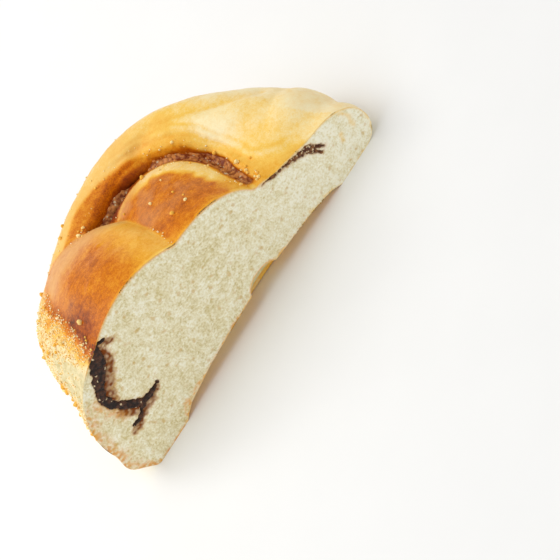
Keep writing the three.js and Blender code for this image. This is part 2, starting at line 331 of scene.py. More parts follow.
def smooth_rows(rows, steps, spacing=0.0):
    """Rows of numbers on a smooth curve through the given ones, steps to a gap.

    The first two columns are a place in plan; spacing 0.25 gives the centripetal curve through them.
    """
    rows = np.array(rows, float)
    ahead = np.vstack([2 * rows[0] - rows[1], rows, 2 * rows[-1] - rows[-2]])
    made = []
    for i in range(len(rows) - 1):
        p0, p1, p2, p3 = ahead[i : i + 4]
        d0, d1, d2 = (
            max(float(((b - a)[:2] ** 2).sum()) ** spacing, 1e-4) for a, b in ((p0, p1), (p1, p2), (p2, p3))
        )
        t1 = ((p1 - p0) / d0 - (p2 - p0) / (d0 + d1) + (p2 - p1) / d1) * d1
        t2 = ((p2 - p1) / d1 - (p3 - p1) / (d1 + d2) + (p3 - p2) / d2) * d1
        t = np.linspace(0, 1, steps, endpoint=False)[:, None]
        made.append(
            (2 * t**3 - 3 * t**2 + 1) * p1
            + (t**3 - 2 * t**2 + t) * t1
            + (3 * t**2 - 2 * t**3) * p2
            + (t**3 - t**2) * t2
        )
    return np.vstack(made + [rows[-1:]])


def nearest_on(x, y, start, end):
    """Share along a straight stretch at which it lies nearest, and the offsets from it there."""
    ux, uy = end[0] - start[0], end[1] - start[1]
    share = np.clip(((x - start[0]) * ux + (y - start[1]) * uy) / (ux * ux + uy * uy + TINY), 0, 1)
    return share, x - start[0] - share * ux, y - start[1] - share * uy


def nearest_on_path(x, y, path):
    """Row of a path that lies nearest, and the distance from the path, positive on its outer side."""
    best = np.full(np.broadcast(x, y).shape, np.inf)
    row, side = np.zeros(best.shape), np.ones(best.shape)
    for i, (start, end) in enumerate(zip(path[:-1], path[1:])):
        share, qx, qy = nearest_on(x, y, start, end)
        distance = qx * qx + qy * qy
        closer = distance < best
        best = np.where(closer, distance, best)
        row = np.where(closer, i + share, row)
        turn = (end[1] - start[1]) * qx - (end[0] - start[0]) * qy
        side = np.where(closer, np.where(turn < 0, -1.0, 1.0), side)
    return row, side * np.sqrt(best)


def plan_table(route):
    """Table over the plan, PLAN_STEP apart: nearest row of a route, distance outwards and distance."""
    x = np.arange(PLAN_LOW[0], PLAN_HIGH[0], PLAN_STEP)[:, None]
    y = np.arange(PLAN_LOW[1], PLAN_HIGH[1], PLAN_STEP)[None]
    row, out = nearest_on_path(x, y, route[:, :2])
    return np.stack([row, out, np.abs(out)], -1)


def read_table(table, i, j):
    """A table's numbers between its rows and columns."""
    i = np.clip(i, 0, table.shape[0] - 1.001)
    j = np.clip(j, 0, table.shape[1] - 1.001)
    i, j = np.broadcast_arrays(i, j)
    i0, j0 = i.astype(int), j.astype(int)
    fi, fj = (i - i0)[..., None], (j - j0)[..., None]
    low = table[i0, j0] * (1 - fi) + table[i0 + 1, j0] * fi
    high = table[i0, j0 + 1] * (1 - fi) + table[i0 + 1, j0 + 1] * fi
    return np.moveaxis(low * (1 - fj) + high * fj, -1, 0)


def read_plan(table, x, y):
    """A plan table's row, outward distance and distance at places in plan."""
    return read_table(table, (x - PLAN_LOW[0]) / PLAN_STEP, (y - PLAN_LOW[1]) / PLAN_STEP)


PLAN_LOW, PLAN_HIGH, PLAN_STEP = (-66.0, -5.0), (68.0, 71.0), 0.5
STRAND_ROWS = smooth_rows(STRAND, 10, 0.25)
STRAND_PLAN = plan_table(STRAND_ROWS)
ROUTE = smooth_rows(FILLING_ROUTE, 8, 0.25)
ROUTE_PLAN = plan_table(ROUTE)
ROUTE_LENGTH = np.concatenate([[0], np.cumsum(np.linalg.norm(np.diff(ROUTE, axis=0), axis=1))])
ROUTE_SHARE = ROUTE_LENGTH / ROUTE_LENGTH[-1]
DOWN = 9  # points of the filling's section that its field is worked out from


def section_rows():
    """The filling's section at each row of its route: outward distance, height, thickness by depth."""
    stations = [share for share, _ in FILLING_SECTIONS]
    tables = []
    for _, points in FILLING_SECTIONS:
        table = smooth_rows([(i, 0, *p) for i, p in enumerate(points)], 2)[:, 2:]
        tables.append(table)
    rows = []
    for share in ROUTE_SHARE:
        i = min(max(int(np.searchsorted(stations, share, side="right")) - 1, 0), len(stations) - 2)
        f = ramp(share, stations[i], stations[i + 1])
        rows.append(tables[i] * (1 - f) + tables[i + 1] * f)
    return np.array(rows)


SECTIONS = section_rows()


def base_profile():
    """Table of the distance to the base layer's outline, by radius and height."""
    radius = np.arange(0, PROFILE_RADIUS, PROFILE_STEP)[:, None]
    height = np.arange(PROFILE_LOW, PROFILE_HIGH, PROFILE_STEP)[None]
    _, out = nearest_on_path(radius, height, smooth_rows(BASE_EDGE, 6, 0.25))
    return -out[..., None]


PROFILE_RADIUS, PROFILE_LOW, PROFILE_HIGH, PROFILE_STEP = 100, -8, 52, 0.5
BASE_FIELD = base_profile()


def base_layer(x, y, z):
    return read_table(BASE_FIELD, np.hypot(x, y) / PROFILE_STEP, (z - PROFILE_LOW) / PROFILE_STEP)[0]


def strand(x, y, z):
    row, _, distance = read_plan(STRAND_PLAN, x, y)
    rows = np.arange(len(STRAND_ROWS))
    middle, width, height = (np.interp(row, rows, STRAND_ROWS[:, k]) for k in (2, 3, 4))
    return oval((distance, width), (z - middle, height))


def filling_layer(x, y, z, rise=0.0):
    """Distance to the layer of filling, which with a rise goes on straight up from its top edge."""
    row, offset, _ = read_plan(ROUTE_PLAN, x, y)
    rows = np.arange(len(ROUTE))
    points = [[np.interp(row, rows, SECTIONS[:, d, k]) for k in range(3)] for d in range(DOWN)]
    if rise > 0:
        out, height, thickness = points[0]
        points = [[out, height + rise, thickness]] + points
    best = None
    for (*upper, thick), (*lower, thin) in zip(points[:-1], points[1:]):
        share, across, up = nearest_on(offset, z, upper, lower)
        gap = np.hypot(across, up) - (thick + share * (thin - thick)) / 2
        best = gap if best is None else np.minimum(best, gap)
    return best


def streaks(x, z):
    """Distance to the ragged streaks of filling on the cut face."""
    x, z = np.broadcast_arrays(x, z)
    places = np.stack([x.ravel(), z.ravel()], 1)
    best = np.full(len(places), np.inf)
    for rows in CUT_STREAKS.values():
        for (*start, wide), (*end, narrow) in zip(rows[:-1], rows[1:]):
            share, px, pz = nearest_on(*places.T, start, end)
            half = (wide + share * (narrow - wide)) / 2
            best = np.minimum(best, np.hypot(px, pz) - half)
    ragged = 0.36 * noise(places, 1.3, 61) + 0.24 * noise(places, 0.55, 62)
    return (best + ragged).reshape(x.shape)


def streak_field(x, y, z):
    """Distance to the bared streaks as a thin slab behind the cut face."""
    slab = np.abs(y - STREAK_DEPTH + 0.3) - STREAK_DEPTH
    figure = cut(streaks(x, z), -slab, 0.7)
    return np.maximum(figure, body_field(x, y, z) + 0.15)


def lobes(x, y, z):
    return ellipsoid(x, y, z, **LEFT_LOBE), ellipsoid(x, y, z, **MIDDLE_LOBE)


def ring(x, y, z):
    """The wound strand with its right flank and the base layer under it."""
    wound = join(strand(x, y, z), ellipsoid(x, y, z, **FLANK_LOBE), 5)
    wound = join(wound, ellipsoid(x, y, z, **TIP_LOBE), 3)
    return join(wound, base_layer(x, y, z), 2.5)


def body_field(x, y, z):
    """The bun without the slot of its filling."""
    left, middle = lobes(x, y, z)
    body = join(join(left, middle, 1.0), ring(x, y, z), 1.2)
    body = cut(body, join(ellipsoid(x, y, z, **ARCH), ellipsoid(x, y, z, **NOTCH), 0.5), 1.5)
    return cut(body, z + FOOT, 1.2)


def route_share(x, y):
    """Share of the filling's route that lies nearest, and the distance outwards from it."""
    row, side, _ = read_plan(ROUTE_PLAN, x, y)
    return np.interp(row, np.arange(len(ROUTE_SHARE)), ROUTE_SHARE), side


def open_slot(x, y, z):
    """Distance to the slot above the filling, which leans against the rope where it opens into a pocket."""
    share, _ = route_share(x, y)
    lean = POCKET_LEAN * stretch(share, 0.38, 0.46, 0.58, 0.64)
    return filling_layer(x + 0.75 * lean, y - 0.65 * lean, z, SLOT_RISE)


def groove_cover(x, y):
    """How far under the crust the slot and the filling stop, and how far the groove is pinched shut."""
    share, _ = route_share(x, y)
    closed = np.maximum(ramp(share, 0.6, 0.66), fall(share, 0.04, 0.075))
    slot = -9 + 12 * closed
    filling = 0.4 + 1.8 * ramp(share, 0.33, 0.42) + 1.6 * closed
    pinch = 0.4 + 0.9 * stretch(share, 0.33, 0.37, 0.415, 0.445)
    return slot, filling, pinch


def bun_field(x, y, z):
    body = body_field(x, y, z)
    slot, _, pinch = groove_cover(x, y)
    slot = np.maximum(open_slot(x, y, z) + pinch, body + slot)
    return cut(body, np.maximum(slot, 1.4 - y), 1.1)


def face_field(places):
    """Distance to the bun's surface at X and Z on the cut face, negative inside."""
    x, z = places.T
    return bun_field(x, np.zeros(len(x)), z)


def filling_field(x, y, z):
    _, cover, _ = groove_cover(x, y)
    layer = open_slot(x, y, z) - 0.3
    layer = cut(layer, -(body_field(x, y, z) + cover), 0.8)
    return np.maximum(layer, 1.2 - y)


# ---- Meshes


def surface_net(field, low, high, cell):
    """Points and quads of a field's zero surface, found on a grid and drawn onto the surface."""
    counts = [int(math.ceil((b - a) / cell)) + 1 for a, b in zip(low, high)]
    axes = [a + cell * np.arange(n) for a, n in zip(low, counts)]
    x, y, z = axes[0][:, None, None], axes[1][None, :, None], axes[2][None, None, :]
    value = np.broadcast_to(field(x, y, z), counts)
    inside = value < 0
    shape = tuple(n - 1 for n in counts)
    total = np.zeros(shape + (3,))
    hits = np.zeros(shape)
    crossings = []
    for axis in range(3):
        u, v = (axis + 1) % 3, (axis + 2) % 3
        first = [slice(None)] * 3
        second = [slice(None)] * 3
        first[axis], second[axis] = slice(0, -1), slice(1, None)
        first, second = tuple(first), tuple(second)
        crossed = inside[first] != inside[second]
        share = np.where(crossed, value[first] / np.where(crossed, value[first] - value[second], 1), 0)
        for du in (0, 1):
            for dv in (0, 1):
                part = [slice(None)] * 3
                part[u] = slice(du, counts[u] - 1 + du)
                part[v] = slice(dv, counts[v] - 1 + dv)
                part = tuple(part)
                there = crossed[part]
                hits += there
                total[..., axis] += there * share[part]
                total[..., u] += there * du
                total[..., v] += there * dv
        crossings.append((np.argwhere(crossed), inside[first][crossed]))
    used = np.argwhere(hits > 0)
    number = np.full(shape, -1)
    number[tuple(used.T)] = np.arange(len(used))
    points = np.array(low) + cell * (used + total[tuple(used.T)] / hits[tuple(used.T)][:, None])
    quads = []
    for axis, (places, outwards) in enumerate(crossings):
        u, v = (axis + 1) % 3, (axis + 2) % 3
        across = places[:, [u, v]]
        inner = ((across > 0) & (across < (shape[u], shape[v]))).all(1)
        places, outwards = places[inner], outwards[inner]
        corners = []
        for du, dv in ((-1, -1), (0, -1), (0, 0), (-1, 0)):
            place = places.copy()
            place[:, u] += du
            place[:, v] += dv
            corners.append(number[tuple(place.T)])
        quad = np.stack(corners, 1)
        quad[~outwards] = quad[~outwards][:, ::-1]
        quads.append(quad)
    for _ in range(2):
        points = onto(field, points, 0.45 * cell)
    return points, np.vstack(quads)


def slope(field, points, step=0.05):
    """Unit direction in which a field grows at points, and its steepness."""
    parts = []
    for axis in range(3):
        ahead, behind = points.copy(), points.copy()
        ahead[:, axis] += step
        behind[:, axis] -= step
        parts.append((field(*ahead.T) - field(*behind.T)) / (2 * step))
    gradient = np.stack(parts, 1)
    steepness = np.linalg.norm(gradient, axis=1)
    return gradient / np.maximum(steepness, 1e-6)[:, None], steepness


def onto(field, points, limit):
    """Points moved onto a field's zero surface, by at most a limit."""
    normal, steepness = slope(field, points)
    step = np.clip(field(*points.T) / np.maximum(steepness, 0.3), -limit, limit)
    return points - normal * step[:, None]


def build_object(name, points, faces, material=None, smooth=True):
    """A mesh object from points in the bun's millimetres."""
    mesh = bpy.data.meshes.new(name)
    mesh.from_pydata((ORIGIN + np.asarray(points) * MM).tolist(), [], [list(map(int, f)) for f in faces])
    mesh.validate()
    mesh.update()
    mesh.shade_smooth() if smooth else mesh.shade_flat()
    made = bpy.data.objects.new(name, mesh)
    bpy.context.scene.collection.objects.link(made)
    if material is not None:
        mesh.materials.append(material)
    return made


def points_of(made):
    """An object's vertices in the bun's millimetres."""
    flat = np.empty(len(made.data.vertices) * 3, np.float32)
    made.data.vertices.foreach_get("co", flat)
    return (flat.reshape(-1, 3).astype(float) - ORIGIN) / MM


def normals_of(made):
    flat = np.empty(len(made.data.vertices) * 3, np.float32)
    made.data.vertex_normals.foreach_get("vector", flat)
    return flat.reshape(-1, 3).astype(float)


def store(made, name, values):
    """A number for each vertex, that materials and scattering read by name."""
    attribute = made.data.attributes.new(name, "FLOAT", "POINT")
    attribute.data.foreach_set("value", np.ascontiguousarray(values, np.float32))


def trim_at_cut(made):
    """Takes off what lies in front of the cut plane and leaves the mesh open there."""
    bm = bmesh.new()
    bm.from_mesh(made.data)
    bmesh.ops.bisect_plane(
        bm,
        geom=bm.verts[:] + bm.edges[:] + bm.faces[:],
        dist=1e-6,
        plane_co=ORIGIN,
        plane_no=(0, -1, 0),
        clear_outer=True,
    )
    bmesh.ops.remove_doubles(bm, verts=[v for v in bm.verts if v.is_boundary], dist=2e-5)
    bm.to_mesh(made.data)
    bm.free()
    made.data.update()


def cut_outline(made):
    """Points on the cut plane and the open edges between them, as pairs of rows."""
    bm = bmesh.new()
    bm.from_mesh(made.data)
    edges = [e for e in bm.edges if e.is_boundary and max(abs(v.co.y - ORIGIN[1]) for v in e.verts) < 2e-5]
    order = {}
    for edge in edges:
        for vertex in edge.verts:
            order.setdefault(vertex.index, len(order))
    pairs = [[order[v.index] for v in e.verts] for e in edges]
    bm.verts.ensure_lookup_table()
    points = np.array([bm.verts[i].co for i in order])
    bm.free()
    return (points - ORIGIN) / MM, pairs


def finish_piece(made, nodes):
    """Puts a piece on the bun's one body, in place of CAD nodes."""
    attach(made, "root")
    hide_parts(*nodes)


# ---- Materials


def add(tree, kind, inputs=None, stops=None, **settings):
    """Adds a node with its settings, and sets or links its inputs by name or number."""
    made = tree.nodes.new(kind)
    for name, value in settings.items():
        setattr(made, name, value)
    if stops:
        elements = made.color_ramp.elements
        while len(elements) < len(stops):
            elements.new(1.0)
        for element, (position, value) in zip(elements, stops):
            element.position = position
            element.color = (*value, 1.0)
    for name, value in (inputs or {}).items():
        socket = made.inputs[name]
        if isinstance(value, bpy.types.NodeSocket):
            tree.links.new(value, socket)
        else:
            socket.default_value = value
    return made


def new_material(name):
    """An empty node material: its tree, its Principled shader and its object coordinates."""
    material = bpy.data.materials.new(name)
    material.use_nodes = True
    tree = material.node_tree
    tree.nodes.clear()
    shader = tree.nodes.new("ShaderNodeBsdfPrincipled")
    output = tree.nodes.new("ShaderNodeOutputMaterial")
    tree.links.new(shader.outputs[0], output.inputs[0])
    place = tree.nodes.new("ShaderNodeTexCoord").outputs["Object"]
    return material, tree, shader, place


def browning(tree, level, colours):
    """Colour of the crust from its level of browning, pale to dark."""
    stops = [
        (0.0, colours.crust_pale),
        (0.2, colours.crust_straw),
        (0.42, colours.crust_gold),
        (0.63, colours.crust_amber),
        (0.82, colours.crust_brown),
        (1.0, colours.crust_fold_shade),
    ]
    return add(tree, "ShaderNodeValToRGB", {0: level}, stops=stops).outputs[0]


def blended(tree, share, first, second):
    """One colour laid over another by a share. Each is a socket, or red, green and blue."""
    first, second = (c if isinstance(c, bpy.types.NodeSocket) else (*c, 1) for c in (first, second))
    inputs = {0: share, 6: first, 7: second}
    return add(tree, "ShaderNodeMix", inputs, data_type="RGBA").outputs[2]


def egg_washed_crust(colours):
    """Egg-washed crust of an enriched dough: gold to brown by the bake, with a thin glossy glaze."""
    material, tree, shader, place = new_material("egg_washed_crust")
    bake, torn, stain, bloom_and_sheen = (
        add(tree, "ShaderNodeAttribute", attribute_name=name).outputs["Fac"]
        for name in ("bake", "torn", "stain", "bloom_and_sheen")
    )
    # Blotches of 4 mm, mottling of 1.3 mm and blisters of 0.4 mm, as an egg wash dries and browns.
    blotch, mottle, blister = (
        add(tree, "ShaderNodeTexNoise", {"Vector": place, "Scale": scale, "Detail": detail}).outputs["Fac"]
        for scale, detail in ((230.0, 2.0), (760.0, 2.0), (2400.0, 1.0))
    )
    depth = add(tree, "ShaderNodeMath", {0: bake, 1: 1.1, 2: 0.25}, operation="MULTIPLY_ADD").outputs[0]
    level = bake
    for source, reach in ((blotch, 0.055), (mottle, 0.065), (blister, 0.06)):
        shift = add(tree, "ShaderNodeMapRange", {0: source, 1: 0.3, 2: 0.7, 3: -reach, 4: reach}).outputs[0]
        level = {0: shift, 1: depth, 2: level}
        level = add(tree, "ShaderNodeMath", level, operation="MULTIPLY_ADD").outputs[0]
    crumb_stops = [(0.35, colours.torn_shade), (0.65, colours.torn_light)]
    crumb = add(tree, "ShaderNodeValToRGB", {0: mottle}, stops=crumb_stops).outputs[0]
    # Bloom lays a dull pale film over the browning: floury bloom and painted sheen together.
    with_bloom_and_sheen = blended(tree, bloom_and_sheen, browning(tree, level, colours), colours.bloom_and_sheen)
    bared = blended(tree, torn, with_bloom_and_sheen, crumb)
    # The stain share lays the dark syrup colour: stains of the filling, and painted shade down the groove's
    # walls.
    soaked = blended(tree, stain, bared, colours.syrup_and_shade)
    tree.links.new(soaked, shader.inputs["Base Color"])
    rough = add(tree, "ShaderNodeMapRange", {0: mottle, 1: 0.3, 2: 0.7, 3: 0.27, 4: 0.4}).outputs[0]
    dull = add(tree, "ShaderNodeMath", {0: bloom_and_sheen, 1: 0.25, 2: rough}, operation="MULTIPLY_ADD").outputs[0]
    matte = add(tree, "ShaderNodeMath", {0: torn, 1: 0.45, 2: dull}, operation="MULTIPLY_ADD").outputs[0]
    tree.links.new(matte, shader.inputs["Roughness"])
    height = add(tree, "ShaderNodeMath", {0: mottle, 1: 0.8, 2: blister}, operation="MULTIPLY_ADD").outputs[0]
    bump = add(tree, "ShaderNodeBump", {"Strength": 0.5, "Distance": 0.00012, "Height": height})
    tree.links.new(bump.outputs[0], shader.inputs["Normal"])
    shader.inputs["IOR"].default_value = 1.42
    shader.inputs["Specular IOR Level"].default_value = 0.15
    return material


def wheat_crumb(colours):
    """Fine soft wheat crumb as a knife leaves it, fully matte: random tone, with painted highlight on the
    raised fibres and painted shade in the hollows.
    """
    material, tree, shader, place = new_material("soft_wheat_crumb")
    height, stain, rim, bake, fleck = (
        add(tree, "ShaderNodeAttribute", attribute_name=name).outputs["Fac"]
        for name in ("height", "stain", "rim", "bake", "fleck")
    )
    # Cell walls of 0.5 mm and clumps of 3 mm, about a level of 0.5.
    fine = add(tree, "ShaderNodeTexNoise", {"Vector": place, "Scale": 1700.0, "Detail": 2.0}).outputs["Fac"]
    clump = add(tree, "ShaderNodeTexNoise", {"Vector": place, "Scale": 330.0, "Detail": 2.0}).outputs["Fac"]
    # The relief's height lightens the raised fibres and darkens the hollows: painted highlight and shade.
    shade = add(tree, "ShaderNodeMath", {0: fine, 1: 1.2, 2: height}, operation="MULTIPLY_ADD").outputs[0]
    shade = add(tree, "ShaderNodeMath", {0: clump, 1: 0.4, 2: shade}, operation="MULTIPLY_ADD").outputs[0]
    shade = add(tree, "ShaderNodeMath", {0: shade, 1: 0.3}, operation="SUBTRACT").outputs[0]
    crumb_stops = [
        (0.12, colours.crumb_shade),
        (0.5, colours.crumb_middle),
        (0.9, colours.crumb_fibre_highlight),
    ]
    crumb = add(tree, "ShaderNodeValToRGB", {0: shade}, stops=crumb_stops).outputs[0]
    flecked = blended(tree, fleck, crumb, colours.crumb_fleck)
    stain_stops = [(0.25, colours.stain_edge), (0.9, colours.stain)]
    syrup = add(tree, "ShaderNodeValToRGB", {0: stain}, stops=stain_stops).outputs[0]
    soaked = blended(tree, stain, flecked, syrup)
    edged = blended(tree, rim, soaked, browning(tree, bake, colours))
    tree.links.new(edged, shader.inputs["Base Color"])
    bump = add(tree, "ShaderNodeBump", {"Strength": 0.35, "Distance": 0.00015, "Height": fine})
    tree.links.new(bump.outputs[0], shader.inputs["Normal"])
    shader.inputs["Roughness"].default_value = 0.85
    shader.inputs["Specular IOR Level"].default_value = 0.2
    return material


def spiced_sugar(colours):
    """Moist cinnamon sugar with ground nuts: reddish baked grains on top, dark and wet at the cut."""
    material, tree, shader, place = new_material("moist_spiced_sugar")
    height, wet, fleck = (
        add(tree, "ShaderNodeAttribute", attribute_name=name).outputs["Fac"]
        for name in ("height", "wet", "fleck")
    )
    fine = add(tree, "ShaderNodeTexNoise", {"Vector": place, "Scale": 1900.0, "Detail": 2.0}).outputs["Fac"]
    # The grains' height lightens their tops and darkens the gaps between them: painted shade over random
    # tone.
    shade = add(tree, "ShaderNodeMath", {0: fine, 1: 0.5, 2: height}, operation="MULTIPLY_ADD").outputs[0]
    dry_stops = [(0.3, colours.syrup_and_shade), (0.85, colours.grain_light)]
    wet_stops = [(0.35, colours.filling_dark), (1.0, colours.filling_light)]
    baked = add(tree, "ShaderNodeValToRGB", {0: shade}, stops=dry_stops).outputs[0]
    moist = add(tree, "ShaderNodeValToRGB", {0: shade}, stops=wet_stops).outputs[0]
    # Pale flecks of 0.5 mm, as many as the fleck attribute says: undissolved grains, and on the hook painted
    # glints.
    grain = add(tree, "ShaderNodeTexVoronoi", {"Vector": place, "Scale": 1900.0}).outputs["Color"]
    chance = add(tree, "ShaderNodeSeparateColor", {0: grain}).outputs[0]
    pale = add(tree, "ShaderNodeMath", {0: chance, 1: fleck}, operation="LESS_THAN").outputs[0]
    mixed = blended(tree, pale, blended(tree, wet, baked, moist), colours.filling_grain_and_glint)
    tree.links.new(mixed, shader.inputs["Base Color"])
    rough = add(tree, "ShaderNodeMapRange", {0: fine, 1: 0.35, 2: 0.6, 3: 0.25, 4: 0.6}).outputs[0]
    tree.links.new(rough, shader.inputs["Roughness"])
    bump = add(tree, "ShaderNodeBump", {"Strength": 0.6, "Distance": 0.00022, "Height": fine})
    tree.links.new(bump.outputs[0], shader.inputs["Normal"])
    shader.inputs["Specular IOR Level"].default_value = 0.28
    return material


def butter_streusel(colours):
    """Baked crumbs of butter, flour and sugar: floury cream to gold, matte and sandy."""
    material, tree, shader, place = new_material("butter_streusel")
    tone = add(tree, "ShaderNodeAttribute", attribute_name="tone").outputs["Fac"]
    sand = add(tree, "ShaderNodeTexNoise", {"Vector": place, "Scale": 1500.0, "Detail": 3.0})
    shade = add(tree, "ShaderNodeMath", {0: sand.outputs["Fac"], 1: 0.8, 2: tone}, operation="MULTIPLY_ADD")
    stops = [(0.5, colours.streusel_light), (1.0, colours.streusel_gold)]
    mixed = add(tree, "ShaderNodeValToRGB", {0: shade.outputs[0]}, stops=stops)
    tree.links.new(mixed.outputs[0], shader.inputs["Base Color"])
    bump = add(tree, "ShaderNodeBump", {"Strength": 0.5, "Distance": 0.0002, "Height": sand.outputs["Fac"]})
    tree.links.new(bump.outputs[0], shader.inputs["Normal"])
    shader.inputs["Roughness"].default_value = 0.7
    shader.inputs["Specular IOR Level"].default_value = 0.2
    return material


def raw_sugar(colours):
    """Grains of cane sugar: pale amber, hard and shiny."""
    material, tree, shader, _ = new_material("raw_sugar")
    tone = add(tree, "ShaderNodeAttribute", attribute_name="tone").outputs["Fac"]
    stops = [(0.0, linear("#FFF4D0")), (0.55, linear("#FAE09A")), (1.0, linear("#E9B556"))]
    mixed = add(tree, "ShaderNodeValToRGB", {0: tone}, stops=stops)
    tree.links.new(mixed.outputs[0], shader.inputs["Base Color"])
    shader.inputs["Roughness"].default_value = 0.3
    shader.inputs["IOR"].default_value = 1.5
    shader.inputs["Specular IOR Level"].default_value = 0.35
    return material


def table_top(colours):
    """White laminate sweep under the bun."""
    material, tree, shader, place = new_material("white_table_top")
    grain = add(tree, "ShaderNodeTexNoise", {"Vector": place, "Scale": 40.0, "Detail": 2.0}).outputs["Fac"]
    shade = blended(tree, grain, colours.floor, linear("#EEEEED"))
    tree.links.new(shade, shader.inputs["Base Color"])
    shader.inputs["Roughness"].default_value = 0.9
    shader.inputs["Specular IOR Level"].default_value = 0.1
    return material


def material_of(name, maker):
    """The material of that name, made once from the scene's colours."""
    return bpy.data.materials.get(name) or maker(bpy.context.scene.bun_colours)


# ---- What the crust looks like where


def path_distance(x, y, *paths):
    """Distance to the nearest of some paths."""
    return np.min([np.abs(nearest_on_path(x, y, path)[1]) for path in paths], 0)


def spots(x, y, places, reach):
    """1 at places in plan, falling to 0 within about twice a reach."""
    return np.max([hump(np.hypot(x - px, y - py), reach) for px, py in places], 0)


def torn_side(x, y, z):
    """Share to which the crust is torn off the strand's side and bares its crumb."""
    ragged = 1.6 * noise(np.stack([x, y, z], 1), 2.4, 12)
    side = ramp(ragged - x, 40.5, 43) * ramp(ragged - y, -24, -19)
    return side * ramp(z + 0.15 * y + ragged, 28.5, 32) * fall(z, 38, 39.6)


def crust_forms(points, sizes):
    """How far the crust's small forms stand out from its smooth shape."""
    x, y, z = points.T
    slow, quick = noise(points, 8, 1), noise(points, 3.2, 2)
    lift = sizes.pucker / MM * (slow + 0.4 * quick + 0.14 * noise(points, 1.4, 4))
    high = ramp(z, 18, 23)
    lift -= sizes.overlap / MM * high * hump(path_distance(x, y, ROPE_OVERLAP), 2.3)

    along, side = route_share(x, y)
    slot = open_slot(x, y, z) + 0.5 * quick
    rope_side = high * ramp(side, 0, 1) * stretch(along, 0, 0.05, 0.38, 0.46)
    wave = sum(rise * hump(slot - place, width) for place, width, rise in LIP_WAVES)
    lift += sizes.lip / MM * rope_side * wave
    lift += 0.2 * high * spots(x, y, BLISTERS, 0.8)

    torn = torn_side(x, y, z)
    lift += torn * (0.5 * noise(points, 1.7, 8) + 0.35 * noise(points, 0.8, 9) - 0.5)
    foot = fall(y, 0, 3) * fall(z, 1.5, 5)
    lift += 0.3 * foot * noise(points, 2.3, 7)
    rough = 0.3 * foot * noise(points, 1.2, 10) * ramp(z, -FOOT + 0.2, -FOOT + 1.6)
    return lift * ramp(z, -FOOT + 0.6, -FOOT + 4) + rough


class CrustPlaces:
    """What the paint of the crust depends on, at each of its points."""

    def __init__(self, points):
        self.x, self.y, self.z = points.T
        self.slow, self.quick, self.fine = noise(points, 9, 3), noise(points, 2.6, 5), noise(points, 1.1, 6)
        self.ripple = noise(points, 3.2, 2)
        self.left, self.middle = lobes(*points.T)
        self.wound = ring(*points.T)
        self.on_left = ramp(np.minimum(self.middle, self.wound) - self.left, -0.4, 0.6)
        self.on_middle = ramp(np.minimum(self.left, self.wound) - self.middle, -0.4, 0.6)
        self.on_rope = np.clip(1 - self.on_left - self.on_middle, 0, 1)
        # Shares of the groove's and the strand's length, and distances outwards from their middles.
        self.along, self.side = route_share(self.x, self.y)
        row, self.out, _ = read_plan(STRAND_PLAN, self.x, self.y)
        self.share = row / (len(STRAND_ROWS) - 1)
        # The groove: distance to its slot, the stretch that stands open, its walls and its pocket.
        self.slot = open_slot(*points.T)
        self.opened = stretch(self.along, 0.03, 0.06, 0.6, 0.66) * ramp(self.y, 0.8, 2)
        self.wall = fall(self.slot, 0.1, 0.9) * self.opened
        self.pocket = ramp(self.along, 0.36, 0.44)
        # The rope: its back stretch, its slope to the groove, its left end and what lies off the lobe.
        self.behind = stretch(self.share, 0.31, 0.38, 0.7, 0.77)
        self.inner = ramp(-self.out - 5.2 * fall(self.share, 0.34, 0.56), -0.2, 1.5)
        self.end = ramp(self.share, 0.7, 0.78)
        self.away = ramp(self.left - self.wound + self.quick, 0.3, 2.2)


def left_lobe_paint(at):
    """Amber, brown where it dips to the left strand, gold towards the middle lobe and the cut."""
    bake = 0.64 + fall(at.x, -31, -22) * fall(at.y, 12, 24) * (0.07 + 0.13 * ramp(at.y, 1, 6))
    bake -= 0.28 * ramp(at.x, -15, -3)
    bake -= 0.12 * ramp(at.y, 24, 34) + 0.14 * fall(at.y, 0, 1.4) * ramp(at.x, -26, -20)
    # Bloom on the lobe's back and left edge: floury film and painted sheen.
    bloom_and_sheen = 0.5 * ramp(at.y, 25, 34) + 0.16 * fall(at.x, -29, -24) * ramp(at.y, 9, 18)
    bloom_and_sheen += 0.05 * ramp(at.slow, 0, 0.6)
    return bake, bloom_and_sheen


def middle_lobe_paint(at):
    """Orange brown, with a pale band along the groove, and blotches of floury bloom with painted sheen that
    grow towards its left end.
    """
    band = fall(at.slot + 1.6 * at.slow + 0.8 * at.quick, 3.8, 7.2) * fall(at.along, 0.36, 0.46)
    bake = 0.66 - 0.5 * band + 0.3 * band * fall(at.y, 3, 12) - 0.1 * ramp(at.y, 30, 38)
    bake -= 0.22 * fall(at.slot, 0.5, 5) * ramp(at.along, 0.4, 0.46)
    bake -= 0.14 * fall(at.y, 0, 1.6) + 0.08 * fall(at.y, 1, 7)
    bloom_and_sheen = 0.24 * ramp(at.slow + 0.5 * at.quick, -0.5, 0.5) * (1 - band) * ramp(at.y, 5, 18)
    bloom_and_sheen += 0.35 * ramp(at.y, 30, 37)
    return bake, bloom_and_sheen


